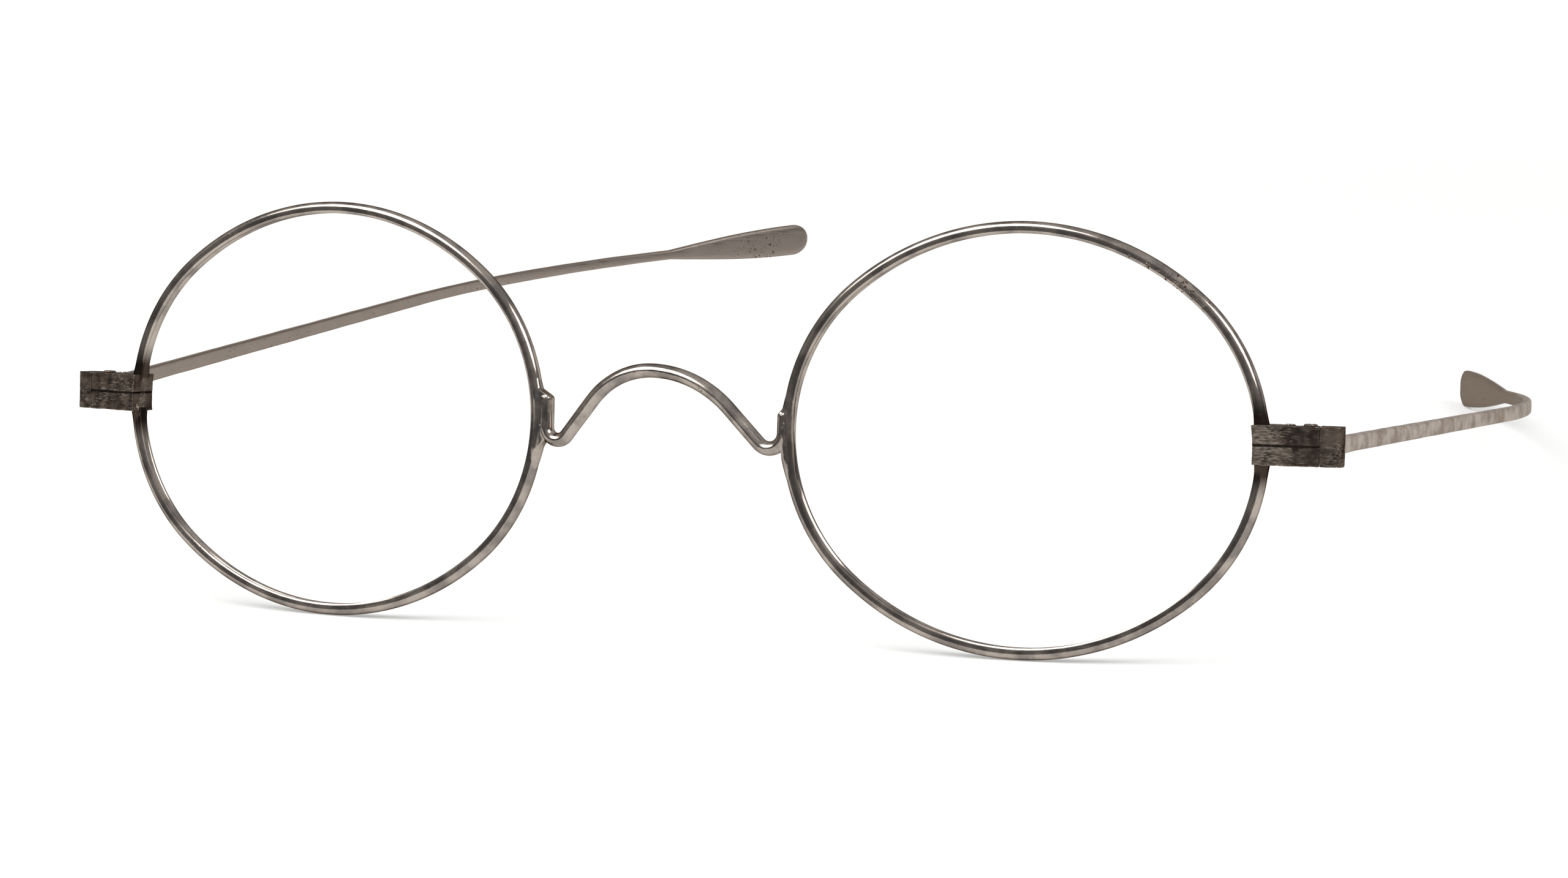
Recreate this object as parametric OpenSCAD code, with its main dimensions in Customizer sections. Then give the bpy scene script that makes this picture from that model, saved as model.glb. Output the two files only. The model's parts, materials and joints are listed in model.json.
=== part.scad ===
// Wire-rim temple spectacles in bare steel, about 1850 to 1890, with no lenses
// in them. They stand open on a table as such a pair stands by itself: on the
// bottoms of both rims and on the pad of one temple, with the front leaning back.
// X runs to the right as the front is seen, Y runs back along the temples, Z is up.

/* [Front] */
// Distance between the two eye centres, set to the wearer's eyes
eye_pitch = 64; // [58:0.5:70]
// Width of one eye, between the middles of the wire
eye_w = 40.8; // [38:0.1:44]
// Height of one eye, between the middles of the wire
eye_h = 34.7; // [32:0.1:36]
// Radius of the wire's curve at the two narrow ends of an eye
eye_end_r = 15.6; // [14:0.1:16.2]
// Angle by which each eye turns back around the face
wrap = 2.9; // [0:0.1:6]
// Angle by which the front leans back when it stands
lean = 9.55; // [8:0.05:12]

/* [Rim wire] */
// Thickness of the wire across the eye
wire_t = 1.0; // [0.8:0.05:1.3]
// Depth of the wire from front to back
wire_d = 1.16; // [0.9:0.02:1.5]
// Radius of the wire's rounded outer side
wire_round_r = 0.62; // [0.58:0.01:0.7]
// Width of the groove that grips the lens
groove_w = 0.6; // [0.3:0.05:0.8]
// Depth of the groove that grips the lens
groove_d = 0.35; // [0.1:0.05:0.45]

/* [Bridge] */
// Thickness of the bridge wire, seen from the front
bridge_t = 1.22; // [1:0.02:1.5]
// Radius of the round bar that the bridge wire was flattened from
bridge_bar_r = 0.68; // [0.64:0.01:0.8]
// Height of the top of the bridge's arch over the eye centres
arch_z = 4.5; // [3.5:0.1:6]
// Distance of the top of the arch to the left of the middle
arch_offset = 1.0; // [0:0.1:2]
// Radius of the arch on its left and on its right half
arch_r = [7.0, 10.2]; // [5:0.1:12]
// Steepness of the bridge's left and right leg
leg_angle = [52.2, 44.4]; // [40:0.1:55]
// Radius of the hook that turns each leg up beside its rim
hook_r = [1.03, 1.35]; // [0.7:0.01:1.5]
// Distance from the middle to each upturned end
tab_x = [10.77, 11.25]; // [10.3:0.01:11.3]
// Height of the cut top of each upturned end
tab_top = [1.9, 1.35]; // [1:0.05:2.5]

/* [End pieces] */
// Height of an end piece, both halves together
end_h = 3.2; // [2.8:0.1:3.8]
// Height of the joint between the halves over the eye centres
end_z = 0.57; // [0:0.01:1]
// Depth of an end piece from front to back
end_d = 3.0; // [2.4:0.1:3.2]
// Angle by which an end piece turns back from its eye
end_turn = 12; // [0:0.5:16]
// Length of an end piece beyond the middle of the rim wire
end_len = 4.5; // [4.3:0.1:5.5]
// Distance from the middle of the rim wire to the hinge screw
hinge_x = 3.7; // [3.5:0.05:4.4]
// Distance from the middle of the rim wire to the closing screw
closing_x = 2.05; // [1.9:0.05:2.6]
// Gap left between the two halves when they are screwed shut
split_gap = 0.06; // [0.02:0.01:0.15]

/* [Hinge] */
// Radius of the hinge screw's shank
hinge_r = 0.36; // [0.3:0.01:0.42]
// Radial clearance of the temple's knuckle on the screw
hinge_gap = 0.03; // [0.01:0.01:0.06]
// Height of the temple's knuckle
knuckle_h = 1.1; // [0.9:0.05:1.3]
// Radius of the knuckle and of the lugs around it
knuckle_r = 0.78; // [0.7:0.01:0.85]
// Width of the temple's butt, which stops against the end piece
butt_w = 1.9; // [1.4:0.05:2]

/* [Temples] */
// Straight length of the left and of the right temple behind its butt
temple_len = [53.0, 55.4]; // [50:0.1:60]
// Radius of a temple's bend behind the ear
temple_bend_r = 67.5; // [55:0.5:80]
// Angle of the left and of the right temple's bend
temple_bend = [30.7, 28.0]; // [20:0.1:40]
// Length of the flat pad at a temple's tip
pad_len = 16.6; // [12:0.1:20]
// Height of a temple at its butt
temple_h = 1.36; // [1:0.02:1.6]
// Height of the left and of the right temple where its pad begins
neck_h = [0.92, 1.2]; // [0.8:0.02:1.4]
// Thickness of a temple at its butt and at its pad
temple_t = [1.0, 0.76]; // [0.6:0.02:1.2]
// Height of the left and of the right pad
pad_h = [3.1, 3.55]; // [2.6:0.05:4]
// Angle by which age has bent the left and the right temple up
temple_rise = [7.5, 0.31]; // [0:0.1:8]

/* [Hidden] */
$fn = 48;

LEFT = 0;
RIGHT = 1;

// Colours of bright rim steel, the arch, stained end pieces and dull temples
rim_colour = "#8c8884";
bridge_colour = "#a09a94";
end_colour = "#4a413d";
screw_colour = "#5c524d";
temple_colour = "#7a716c";

// Half sizes of an eye, and where the middle of its wire comes nearest the nose
eye_a = eye_w / 2;
eye_b = eye_h / 2;
nasal_x = eye_pitch / 2 - eye_a;

// An eye is an oval of four arcs: the long arcs' radius and the angle of the join
eye_side_r = (pow(eye_a - eye_end_r, 2) + pow(eye_b, 2) - pow(eye_end_r, 2))
  / (2 * (eye_b - eye_end_r));
arc_join = atan2(eye_side_r - eye_b, eye_a - eye_end_r);

// The wire's rounded side is a circle whose centre lies this far inside the wire
wire_round_in = wire_round_r - wire_t / 2;

// An end piece in its own frame, which is its eye's, turned back about the wire:
// x outwards, y back, z up from the eye's centre
end_in = eye_a - wire_t / 2;
end_out = eye_a + end_len;
end_top = end_z + end_h / 2;
end_low = end_z - end_h / 2;
pin_x = eye_a + hinge_x;
// Clearance between faces that slide past each other
slide_gap = 0.02;
// The butt, from the pin: how far it reaches back and in, and the corner's swing
butt_back = 0.9;
butt_in = end_out - pin_x + slide_gap;
butt_corner_r = 0.8;
swing_gap = 0.05;
swing_r = norm([butt_in, butt_back]) + swing_gap;
// The knuckle's root goes this far into the butt
knuckle_root = 0.1;

// Screws: heads' radius and height, the turn of their slots, the closing screw's shank
hinge_head_r = 0.56;
hinge_head_h = 0.3;
hinge_slot_turn = 80;
closing_r = 0.28;
closing_head_r = 0.42;
closing_head_h = 0.2;
closing_slot_turn = 35;
// Every slot's width and depth, the share of a head that is upright, and its narrow top
slot_w = 0.16;
slot_d = 0.16;
head_upright = 0.6;
head_narrow = 0.8;
shank_gap = 0.01;

// The temple's bar: where its middle leaves the butt, from the wire in the end piece's
// frame and then in the eye's frame; its height, corner, flare at the butt and tip
bar_out = hinge_x + butt_in + butt_w - temple_t[0] / 2;
bar_x = eye_a + bar_out * cos(end_turn) - butt_back * sin(end_turn);
bar_y = bar_out * sin(end_turn) + butt_back * cos(end_turn);
bar_z = 0.69;
bar_corner = 0.22;
bar_flare = 0.2;
bar_flare_len = 4;
tip_len = 1.7;
tip_least = 0.3;
bend_len = temple_bend_r * temple_bend * PI / 180;
pad_start = temple_len + bend_len;

// Brazing metal at the bridge's ends: its foot, half its depth, how far it hides in the
// rim, and how much higher or lower it is on the rim than on the upturned end
braze_low = -2.3;
braze_half_d = 0.36;
braze_in = 0.1;
braze_ramp = 0.9;
// Slope of the cut that ends each upturned end
tab_slant = 0.6;

// Place of the front over the footprint, which is centred on the origin, and the
// height of the eye centres when the rims' rounded outer sides touch the table
stand_y = -51.84;
stand_z = (eye_b - wire_round_in) * cos(lean) + eye_a * sin(wrap) * sin(lean) + wire_round_r;

// Stands the front frame on the table: leaning back, feet at zero
module stand() {
  translate([0, stand_y, stand_z]) rotate([-lean, 0, 0]) children();
}

// Frame of one eye, on its centre and turned by the wrap; the left is the mirror image
module eye(side) {
  mirror([side == LEFT ? 1 : 0, 0, 0])
    translate([nasal_x, 0, 0]) rotate([0, 0, wrap]) translate([eye_a, 0, 0]) children();
}

// Section of the rim's wire, from its groove outwards: across the eye, then front to back
wire_turn = 180 - acos((wire_t / 2 - wire_round_in) / wire_round_r);
wire_section = [
  for (i = [-5:5])
    let (a = -i * wire_turn / 5)
    [wire_round_r * cos(a) - wire_round_in,
      min(wire_d / 2, max(-wire_d / 2, wire_round_r * sin(a)))]
];
groove_section = [[-wire_t / 2, -groove_w / 2], [groove_d - wire_t / 2, 0], [-wire_t / 2, groove_w / 2]];

// The bridge's section: a round bar hammered a little flat above and below
bridge_section = [
  for (i = [0:11])
    let (a = 15 + 30 * i)
    [min(bridge_t / 2, max(-bridge_t / 2, bridge_bar_r * cos(a))), bridge_bar_r * sin(a)]
];

// Point of a sweep: a length across from an arc's radius, at an angle, and a depth
function arc_point(c, r, angle, off) =
  [c[0] + (r + off[0]) * cos(angle), off[1], c[1] + (r + off[0]) * sin(angle)];

// Skins a list of rings, each with the same number of points, into a closed solid;
// its ends are closed by triangles about one point of the ring that sees all the others
module skin(rings, hub = 0) {
  ring = len(rings[0]);
  last = len(rings) - 1;
  sides = [
    for (i = [0:last - 1], j = [0:ring - 1])
      let (a = i * ring + j, b = i * ring + (j + 1) % ring)
      for (face = [[a, b, a + ring], [b, b + ring, a + ring]]) face
  ];
  fan = [for (j = [1:ring - 2]) [hub, (hub + j + 1) % ring, (hub + j) % ring]];
  end = [for (face = fan) last * ring * [1, 1, 1] + [face[0], face[2], face[1]]];
  polyhedron(points = [for (r = rings) for (q = r) q], faces = concat(fan, sides, end), convexity = 8);
}

// The four arcs of an eye: centre, radius, first and last angle; from the end
// piece's top over the brow, down beside the nose, and back to its bottom. The arc at
// the end piece comes twice, because the end piece parts it in two
end_c = eye_a - eye_end_r;
side_c = eye_side_r - eye_b;
eye_arcs = [
  [[end_c, 0], eye_end_r, 0, arc_join],
  [[0, -side_c], eye_side_r, arc_join, 180 - arc_join],
  [[-end_c, 0], eye_end_r, 180 - arc_join, 180 + arc_join],
  [[0, side_c], eye_side_r, 180 + arc_join, 360 - arc_join],
  [[end_c, 0], eye_end_r, 360 - arc_join, 360]
];
arc_steps = [15, 20, 28, 20, 15];

// One arc's rings for a section; the first ring belongs to the arc before it
function arc_rings(k, section) =
  let (arc = eye_arcs[k])
  [
    for (i = [1:arc_steps[k]])
      let (angle = arc[2] + (arc[3] - arc[2]) * i / arc_steps[k])
      [for (off = section) arc_point(arc[0], arc[1], angle, off)]
  ];

// A ring of the end arc cut level at a height instead of square to the wire
function level_ring(z, section) =
  [for (off = section) arc_point([end_c, 0], eye_end_r, asin(z / (eye_end_r + off[0])), off)];

// The rings between two heights of the end arc; none of them comes too near the level cut
function end_rings(k, z, section) =
  [for (ring = arc_rings(k, section)) if (abs(ring[0][2]) > abs(z) + wire_t / 2) ring];

// A rim is one wire whose two ends stop level against the end piece's halves
module rim() {
  section = concat(wire_section, groove_section);
  color(rim_colour) skin(concat(
    [level_ring(end_top, section)],
    end_rings(0, end_top, section),
    arc_rings(1, section),
    arc_rings(2, section),
    arc_rings(3, section),
    end_rings(4, end_low, section),
    [level_ring(end_low, section)]
  ), len(wire_section) + 1);
}

// The part of an eye's wire beside the nose, without its groove, to cut the bridge's ends
module rim_beside_nose() {
  skin(arc_rings(2, wire_section));
}

// One half of the bridge's rings, drawn to the right of the arch's top at x = 0:
// the arch, the leg that leaves it, the hook, and the end that turns up at x = reach
function bridge_half(side, reach) =
  let (
    r = arch_r[side],
    leg = leg_angle[side],
    hook = hook_r[side],
    arch_c = [0, arch_z - r],
    leg_top = arch_c + r * [sin(leg), cos(leg)],
    hook_x = reach - hook,
    // The hook's centre lies one hook radius over the leg's line
    hook_z = leg_top[1] + (hook - (hook_x - leg_top[0]) * sin(leg)) / cos(leg)
  )
  concat(
    [
      for (i = [0:8])
        [for (off = bridge_section) arc_point(arch_c, r, 90 - leg * i / 8, off)]
    ],
    [
      // In the hook the section's outer side has become its inner side
      for (i = [0:8])
        [for (off = bridge_section)
          arc_point([hook_x, hook_z], hook, 270 - leg + (90 + leg) * i / 8, [-off[0], off[1]])]
    ],
    // The top is cut off slanting down from the rim to the nose
    [
      [for (off = bridge_section) [reach - off[0], off[1], tab_top[side] - tab_slant * off[0]]]
    ]
  );

// The other half's rings: mirrored, and in the order that leads up to the arch's top
function bridge_mirror(rings) =
  [
    for (i = [1:len(rings) - 1])
      [for (q = rings[len(rings) - i]) [-q[0], q[1], q[2]]]
  ];

// Brazing metal between an upturned end and its rim, drawn on the right side
module bridge_braze(side) {
  top = tab_top[side];
  x = tab_x[side];
  translate([0, braze_half_d, 0]) rotate([90, 0, 0]) linear_extrude(2 * braze_half_d)
    polygon([
      [x, braze_low + braze_ramp],
      [nasal_x - braze_in, braze_low],
      [nasal_x, braze_low],
      [nasal_x, top + braze_ramp],
      [x, top]
    ]);
}

module bridge() {
  right = bridge_half(RIGHT, tab_x[RIGHT] + arch_offset);
  left = bridge_half(LEFT, tab_x[LEFT] - arch_offset);
  color(bridge_colour) difference() {
    union() {
      translate([-arch_offset, 0, 0]) skin(concat(bridge_mirror(left), right));
      bridge_braze(RIGHT);
      mirror([1, 0, 0]) bridge_braze(LEFT);
    }
    eye(LEFT) rim_beside_nose();
    eye(RIGHT) rim_beside_nose();
  }
}

// The end piece's frame within its eye's
module end_frame() {
  translate([eye_a, 0, 0]) rotate([0, 0, end_turn]) translate([-eye_a, 0, 0]) children();
}

// An end piece seen from above: a bar in front, a full-depth block beside the rim
// that leaves the butt room to swing, and a round lug about the hinge screw
module end_outline() {
  translate([end_in - 1, -end_d / 2]) square([end_out - end_in + 1, end_d / 2]);
  translate([end_in - 1, -end_d / 2]) square([pin_x - swing_r - end_in + 1, end_d]);
  translate([pin_x, 0]) circle(r = knuckle_r);
}

// The slot across both halves that the knuckle turns in; it stays behind the front wall
module knuckle_slot() {
  translate([pin_x, 0, end_z - knuckle_h / 2 - slide_gap]) linear_extrude(knuckle_h + 2 * slide_gap) {
    circle(r = knuckle_r + slide_gap);
    translate([0, -knuckle_r - slide_gap]) square(2 * end_len);
  }
}

// The lens groove's cutter, which starts a little inside the eye
groove_cut = concat([for (q = groove_section) q], [[-1, groove_w / 2], [-1, -groove_w / 2]]);

// Both halves in one: drilled for the screws, slotted, and grooved for the lens
module end_block() {
  difference() {
    end_frame() difference() {
      translate([0, 0, end_low]) linear_extrude(end_h) end_outline();
      knuckle_slot();
      translate([pin_x, 0, end_low - 1]) cylinder(r = hinge_r + shank_gap, h = end_h + 2);
      translate([eye_a + closing_x, 0, end_low - 1]) cylinder(r = closing_r + shank_gap, h = end_h + 2);
    }
    translate([end_c, 0, 0]) rotate([90, 0, 0])
      cylinder(r = eye_end_r - wire_t / 2, h = 3 * end_d, center = true, $fn = 96);
    translate([end_c, 0, 0]) rotate([90, 0, 0]) rotate_extrude($fn = 96) translate([eye_end_r, 0])
      polygon(groove_cut);
  }
}

module end_half(low, high) {
  color(end_colour) intersection() {
    end_block();
    translate([end_in - 1, -2 * end_d, low]) cube([3 * end_len, 4 * end_d, high - low]);
  }
}

module end_upper() {
  end_half(end_z + split_gap / 2, end_top + 1);
}

module end_lower() {
  end_half(end_low - 1, end_z - split_gap / 2);
}

// A slotted screw with its head on top of the end piece, its slot turned by an angle
module screw(x, shank_r, head_r, head_h, slot_turn) {
  color(screw_colour) end_frame() translate([x, 0, 0]) difference() {
    union() {
      translate([0, 0, end_low]) cylinder(r = shank_r, h = end_h);
      translate([0, 0, end_top]) cylinder(r = head_r, h = head_h * head_upright);
      translate([0, 0, end_top + head_h * head_upright])
        cylinder(r1 = head_r, r2 = head_r * head_narrow, h = head_h * (1 - head_upright));
    }
    translate([0, 0, end_top + head_h]) rotate([0, 0, slot_turn])
      cube([3 * head_r, slot_w, 2 * slot_d], center = true);
  }
}

module hinge_screw() {
  screw(pin_x, hinge_r, hinge_head_r, hinge_head_h, hinge_slot_turn);
}

module closing_screw() {
  screw(eye_a + closing_x, closing_r, closing_head_r, closing_head_h, closing_slot_turn);
}

// The temple's butt with the knuckle that the hinge screw goes through
module temple_butt() {
  color(end_colour) end_frame() translate([pin_x, 0, 0]) difference() {
    union() {
      translate([0, 0, end_low]) linear_extrude(end_h) butt_outline();
      translate([0, 0, end_z - knuckle_h / 2]) linear_extrude(knuckle_h) {
        circle(r = knuckle_r);
        translate([0, -knuckle_r]) square([butt_in + knuckle_root, 2 * knuckle_r]);
      }
    }
    translate([0, 0, end_low]) cylinder(r = hinge_r + hinge_gap, h = end_h);
  }
}

// The butt seen from above, from the pin: flat where it stops, rounded outside
module butt_outline() {
  front = -end_d / 2;
  out = butt_in + butt_w;
  translate([butt_in, front]) square([butt_w - butt_corner_r, butt_back - front]);
  translate([butt_in, front + butt_corner_r]) square([butt_w, butt_back - front - butt_corner_r]);
  translate([out - butt_corner_r, front + butt_corner_r]) circle(r = butt_corner_r);
}

// Middle of the temple's bar at a length from the butt: across, back and the bend so far
function bar_turn(side, s) = min(max(s - temple_len[side], 0), bend_len[side]) / temple_bend_r * 180 / PI;
function bar_at(side, s) =
  let (turn = bar_turn(side, s), beyond = max(s - pad_start[side], 0))
  [
    -temple_bend_r * (1 - cos(turn)) - beyond * sin(turn),
    min(s, temple_len[side]) + temple_bend_r * sin(turn) + beyond * cos(turn),
    turn
  ];

// Height of the bar at a length: a taper with a flare at the butt, then, at a length
// into the pad, the pad's fan and its round tip
function taper(side, s) =
  temple_h + (neck_h[side] - temple_h) * s / pad_start[side]
    + bar_flare * pow(max(0, 1 - s / bar_flare_len), 2);
function fan(in) = sin(90 * min(1, in / (pad_len - tip_len)));
function tip(in) = sqrt(max(0, 1 - pow(max(0, in - pad_len + tip_len) / tip_len, 2)));
function bar_h(side, s) =
  let (in = s - pad_start[side])
  in <= 0
    ? taper(side, s)
    : (neck_h[side] + (pad_h[side] - neck_h[side]) * fan(in)) * max(tip_least, tip(in));
function bar_t(side, s) = temple_t[0] + (temple_t[1] - temple_t[0]) * min(1, s / pad_start[side]);

// Section of the bar with rounded corners: x across, y up
function bar_section(w, h) =
  let (r = min(bar_corner, 0.45 * min(w, h)))
  [
    for (quarter = [0:3], step = [0:2])
      let (
        a = 90 * quarter + 45 * step,
        sx = quarter == 0 || quarter == 3 ? 1 : -1,
        sy = quarter < 2 ? 1 : -1
      )
      [sx * (w / 2 - r) + r * cos(a), sy * (h / 2 - r) + r * sin(a)]
  ];

// Lengths at which the bar's section is set: closer where it flares, bends and ends
function stations(side) = concat(
  [for (i = [0:4]) i * bar_flare_len / 4],
  [for (i = [1:5]) bar_flare_len + i * (temple_len[side] - bar_flare_len) / 5],
  [for (i = [1:12]) temple_len[side] + i * bend_len[side] / 12],
  [for (i = [1:9]) pad_start[side] + i * (pad_len - tip_len) / 9],
  [for (i = [1:5]) pad_start[side] + pad_len - tip_len + tip_len * sin(18 * i)]
);

// The temple's bar: sections lofted along the straight, the bend and the pad; the first
// one lies in the butt's back, which is turned with the end piece
module temple(side) {
  rise = tan(temple_rise[side]);
  rings = [
    for (s = stations(side))
      let (at = bar_at(side, s), slant = s == 0 ? tan(end_turn) : sin(at[2]))
      [
        for (p = bar_section(bar_t(side, s), bar_h(side, s)))
          [at[0] + p[0] * cos(at[2]), at[1] + p[0] * slant, at[1] * rise + p[1]]
      ]
  ];
  color(temple_colour) translate([bar_x, bar_y, bar_z]) skin(rings);
}

stand() eye(LEFT) rim();  // rim_left
stand() eye(RIGHT) rim();  // rim_right
stand() bridge();
stand() eye(LEFT) end_upper();  // end_piece_upper_left
stand() eye(LEFT) end_lower();  // end_piece_lower_left
stand() eye(RIGHT) end_upper();  // end_piece_upper_right
stand() eye(RIGHT) end_lower();  // end_piece_lower_right
stand() eye(LEFT) closing_screw();  // closing_screw_left
stand() eye(RIGHT) closing_screw();  // closing_screw_right
stand() eye(LEFT) hinge_screw();  // hinge_screw_left
stand() eye(RIGHT) hinge_screw();  // hinge_screw_right
stand() eye(LEFT) temple_butt();  // temple_butt_left
stand() eye(RIGHT) temple_butt();  // temple_butt_right
stand() eye(LEFT) temple(LEFT);  // temple_left
stand() eye(RIGHT) temple(RIGHT);  // temple_right
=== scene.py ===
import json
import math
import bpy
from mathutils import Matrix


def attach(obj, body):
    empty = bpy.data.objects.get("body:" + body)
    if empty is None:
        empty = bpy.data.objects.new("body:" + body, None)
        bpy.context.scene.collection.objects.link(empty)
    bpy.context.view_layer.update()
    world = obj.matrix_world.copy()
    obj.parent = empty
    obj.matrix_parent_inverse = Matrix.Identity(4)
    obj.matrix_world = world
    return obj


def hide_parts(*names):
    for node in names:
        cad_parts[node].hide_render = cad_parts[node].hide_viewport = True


bl_info = {
    "name": "Steel Temple Spectacles",
    "version": (1, 0, 0),
    "blender": (4, 5, 0),
    "location": "View3D > Sidebar > Spectacles",
    "description": "Wire-rim temple spectacles of worn steel, standing open on a table",
    "category": "Add Mesh",
}

import bpy
from mathutils import Matrix, Vector

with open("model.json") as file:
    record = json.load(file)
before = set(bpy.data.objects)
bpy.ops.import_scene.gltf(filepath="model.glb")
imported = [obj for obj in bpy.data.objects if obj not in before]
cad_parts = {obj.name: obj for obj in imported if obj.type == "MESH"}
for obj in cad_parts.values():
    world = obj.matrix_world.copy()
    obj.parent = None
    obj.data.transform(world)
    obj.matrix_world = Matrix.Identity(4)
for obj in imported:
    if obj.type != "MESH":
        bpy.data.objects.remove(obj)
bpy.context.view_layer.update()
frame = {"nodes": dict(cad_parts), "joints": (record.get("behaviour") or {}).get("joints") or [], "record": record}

# Pieces are modelled in millimetres, in their own frame, and then placed in metres
MM = 0.001
MM_IN_METRE = 1000
LEFT, RIGHT = "left", "right"
SIDES = (LEFT, RIGHT)
MOUNTS = {mount["name"]: mount for mount in frame["record"]["mounts"]}
JOINTS = {joint["name"]: joint for joint in frame["joints"]}

# Where rust has gathered on the right rim, and how far it reaches, in metres
RUST_SPOT = (Vector((0.045, -0.051, 0.031)), 0.007)

# Sockets of a Mix node that mixes colours, and a Map Range node's setting for soft ends
FACTOR, COLOUR_A, COLOUR_B = 0, 6, 7
SOFT = {"interpolation_type": "SMOOTHSTEP"}

# Materials already made, by the name of the function that builds each
_made = {}


def linear(code):
    """Linear RGBA of an sRGB hex colour."""
    parts = [int(code[i:i + 2], 16) / 255 for i in (1, 3, 5)]
    return [c / 12.92 if c <= 0.04045 else ((c + 0.055) / 1.055) ** 2.4 for c in parts] + [1.0]


def length(name, description, value):
    """A size in millimetres that the user can change."""
    return bpy.props.FloatProperty(name=name, description=description, default=value, unit="NONE")


def lengths(name, description, values):
    """A size in millimetres for the left and for the right."""
    return bpy.props.FloatVectorProperty(
        name=name, description=description, default=values, size=2, unit="NONE")


def angle(name, description, degrees):
    """An angle that the user can change."""
    return bpy.props.FloatProperty(
        name=name, description=description, default=math.radians(degrees), subtype="ANGLE")


def angles(name, description, degrees):
    """An angle for the left and for the right."""
    return bpy.props.FloatVectorProperty(
        name=name, description=description, default=[math.radians(d) for d in degrees], size=2,
        unit="ROTATION")


def colour(name, description, code):
    """A colour that the user can change."""
    return bpy.props.FloatVectorProperty(
        name=name, description=description, default=linear(code), size=4, subtype="COLOR",
        min=0, max=1)


class RimSizes(bpy.types.PropertyGroup):
    eye_half_w: length("Eye half width", "From the eye's centre out to the middle of the wire", 20.4)
    eye_half_h: length("Eye half height", "From the eye's centre up to the middle of the wire", 17.35)
    eye_end_r: length("End radius", "Radius of the wire's curve at the eye's narrow ends", 15.6)
    wrap: angle("Wrap", "Turn of each eye around the face", 2.9)
    wire_t: length("Wire thickness", "Across the eye", 1.0)
    wire_d: length("Wire depth", "From front to back", 1.16)
    round_r: length("Wire rounding", "Radius of the wire's outer side", 0.62)
    groove_w: length("Groove width", "Mouth of the lens groove", 0.6)
    groove_d: length("Groove depth", "Depth of the lens groove", 0.35)
    end_top: length("End piece top", "Height of the end piece's top over the eye's centre", 2.17)
    end_split: length("End piece split", "Height of the end piece's split over the eye's centre", 0.57)
    end_low: length("End piece bottom", "Depth of the end piece's bottom under the eye's centre", 1.03)
    buried: length("Buried ends", "How far the wire's ends go into the end piece", 0.25)
    fillet: length("Fillet reach", "How far braze creeps up the wire from the end piece", 1.3)
    # The wire is coloured darker up to this reach from the end piece
    stain: length("Stain reach", "How far oxide creeps up the wire from the end piece", 3.0)


class BridgeSizes(bpy.types.PropertyGroup):
    bar_d: length("Bar depth", "From front to back", 1.44)
    bar_t: length("Bar thickness", "Seen from the front", 1.22)
    arch_x: length("Arch place", "Top of the arch from the middle", -1.0)
    arch_z: length("Arch height", "Top of the arch over the eyes' centres", 4.5)
    arch_r: lengths("Arch radii", "Radius of each half of the arch", (7.0, 10.2))
    leg: angles("Leg angles", "Steepness of each leg", (52.2, 44.4))
    hook_r: lengths("Hook radii", "Radius of each hook", (1.03, 1.35))
    tab_x: lengths("Ends' places", "Each upturned end from the middle", (10.77, 11.25))
    tab_top: lengths("Ends' heights", "Cut top of each upturned end", (1.9, 1.35))
    braze_t: length("Braze half width", "Across the eye, around the rim's wire", 0.56)
    braze_d: length("Braze half depth", "From front to back, around the rim's wire", 0.66)
    braze_out: length("Braze place", "From the middle of the wire towards the nose", 0.1)
    braze_top: length("Braze height", "Reach of the braze over the upturned end", 1.7)
    braze_low: length("Braze depth", "Reach of the braze under the eye's centre", 4.3)
    ramp_d: length("Ramp half depth", "Braze between the upturned end and the rim", 0.52)
    ramp_top: length("Ramp height", "Reach of the ramp over the upturned end", 0.75)
    ramp_low: length("Ramp depth", "Reach of the ramp under the eye's centre", 2.75)


class TempleSizes(bpy.types.PropertyGroup):
    straight: lengths("Straight lengths", "From the butt to each bend", (53.0, 55.4))
    bend_r: length("Bend radius", "Radius of the bend behind the ear", 67.5)
    bend: angles("Bends", "Angle of each bend", (30.7, 28.0))
    pad: length("Pad length", "Flat pad at the tip", 16.6)
    tip: length("Tip length", "Rounded end of the pad", 1.7)
    root_h: length("Root height", "Height of the bar at the butt", 1.36)
    neck_h: lengths("Neck heights", "Height of each bar before the pad", (0.92, 1.2))
    root_t: length("Root thickness", "Thickness of the bar at the butt", 1.0)
    neck_t: length("Neck thickness", "Thickness of the bar at the pad", 0.76)
    pad_h: lengths("Pad heights", "Height of each pad", (3.1, 3.55))
    rise: angles("Rise", "Angle by which age has bent each temple up", (7.5, 0.31))
    root_x: length("Root place", "Bar's middle from the eye's centre", 26.003)
    root_y: length("Root depth", "Bar's root behind the eye's centre", 2.111)
    root_z: length("Root height over the eye", "Bar's middle over the eye's centre", 0.69)
    sunk: length("Sunk root", "How far the bar goes into the butt", 0.25)


class SteelColours(bpy.types.PropertyGroup):
    bright: colour("Bright steel", "Polished wire where hands have kept it bright", "#aaa097")
    grey: colour("Grey steel", "Polished wire where it has dulled", "#7f7873")
    stain: colour("Stained steel", "Old brown-black oxide on the end pieces", "#3b322d")
    worn: colour("Worn steel", "End pieces where they are rubbed bright", "#c2b6a9")
    pewter: colour("Pewter grey", "Dull skin of the temples", "#cdc5bf")
    ash: colour("Ash grey", "Duller blotches on the temples", "#a69d96")
    umber: colour("Umber grey", "Paler blotches on the end pieces", "#62574f")
    # Painted shade: the temples' inner sides are coloured darker for the shade that falls on them
    inner: colour("Inner grey", "Darker skin of the temples' inner sides", "#8f857d")
    rust: colour("Rust", "Pits of old rust", "#3a261c")
    # Dirt in the end pieces' splits, and also painted shade on their faces towards the eyes
    dirt: colour("Dirt", "What has gathered in the end pieces' splits", "#26201c")


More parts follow.
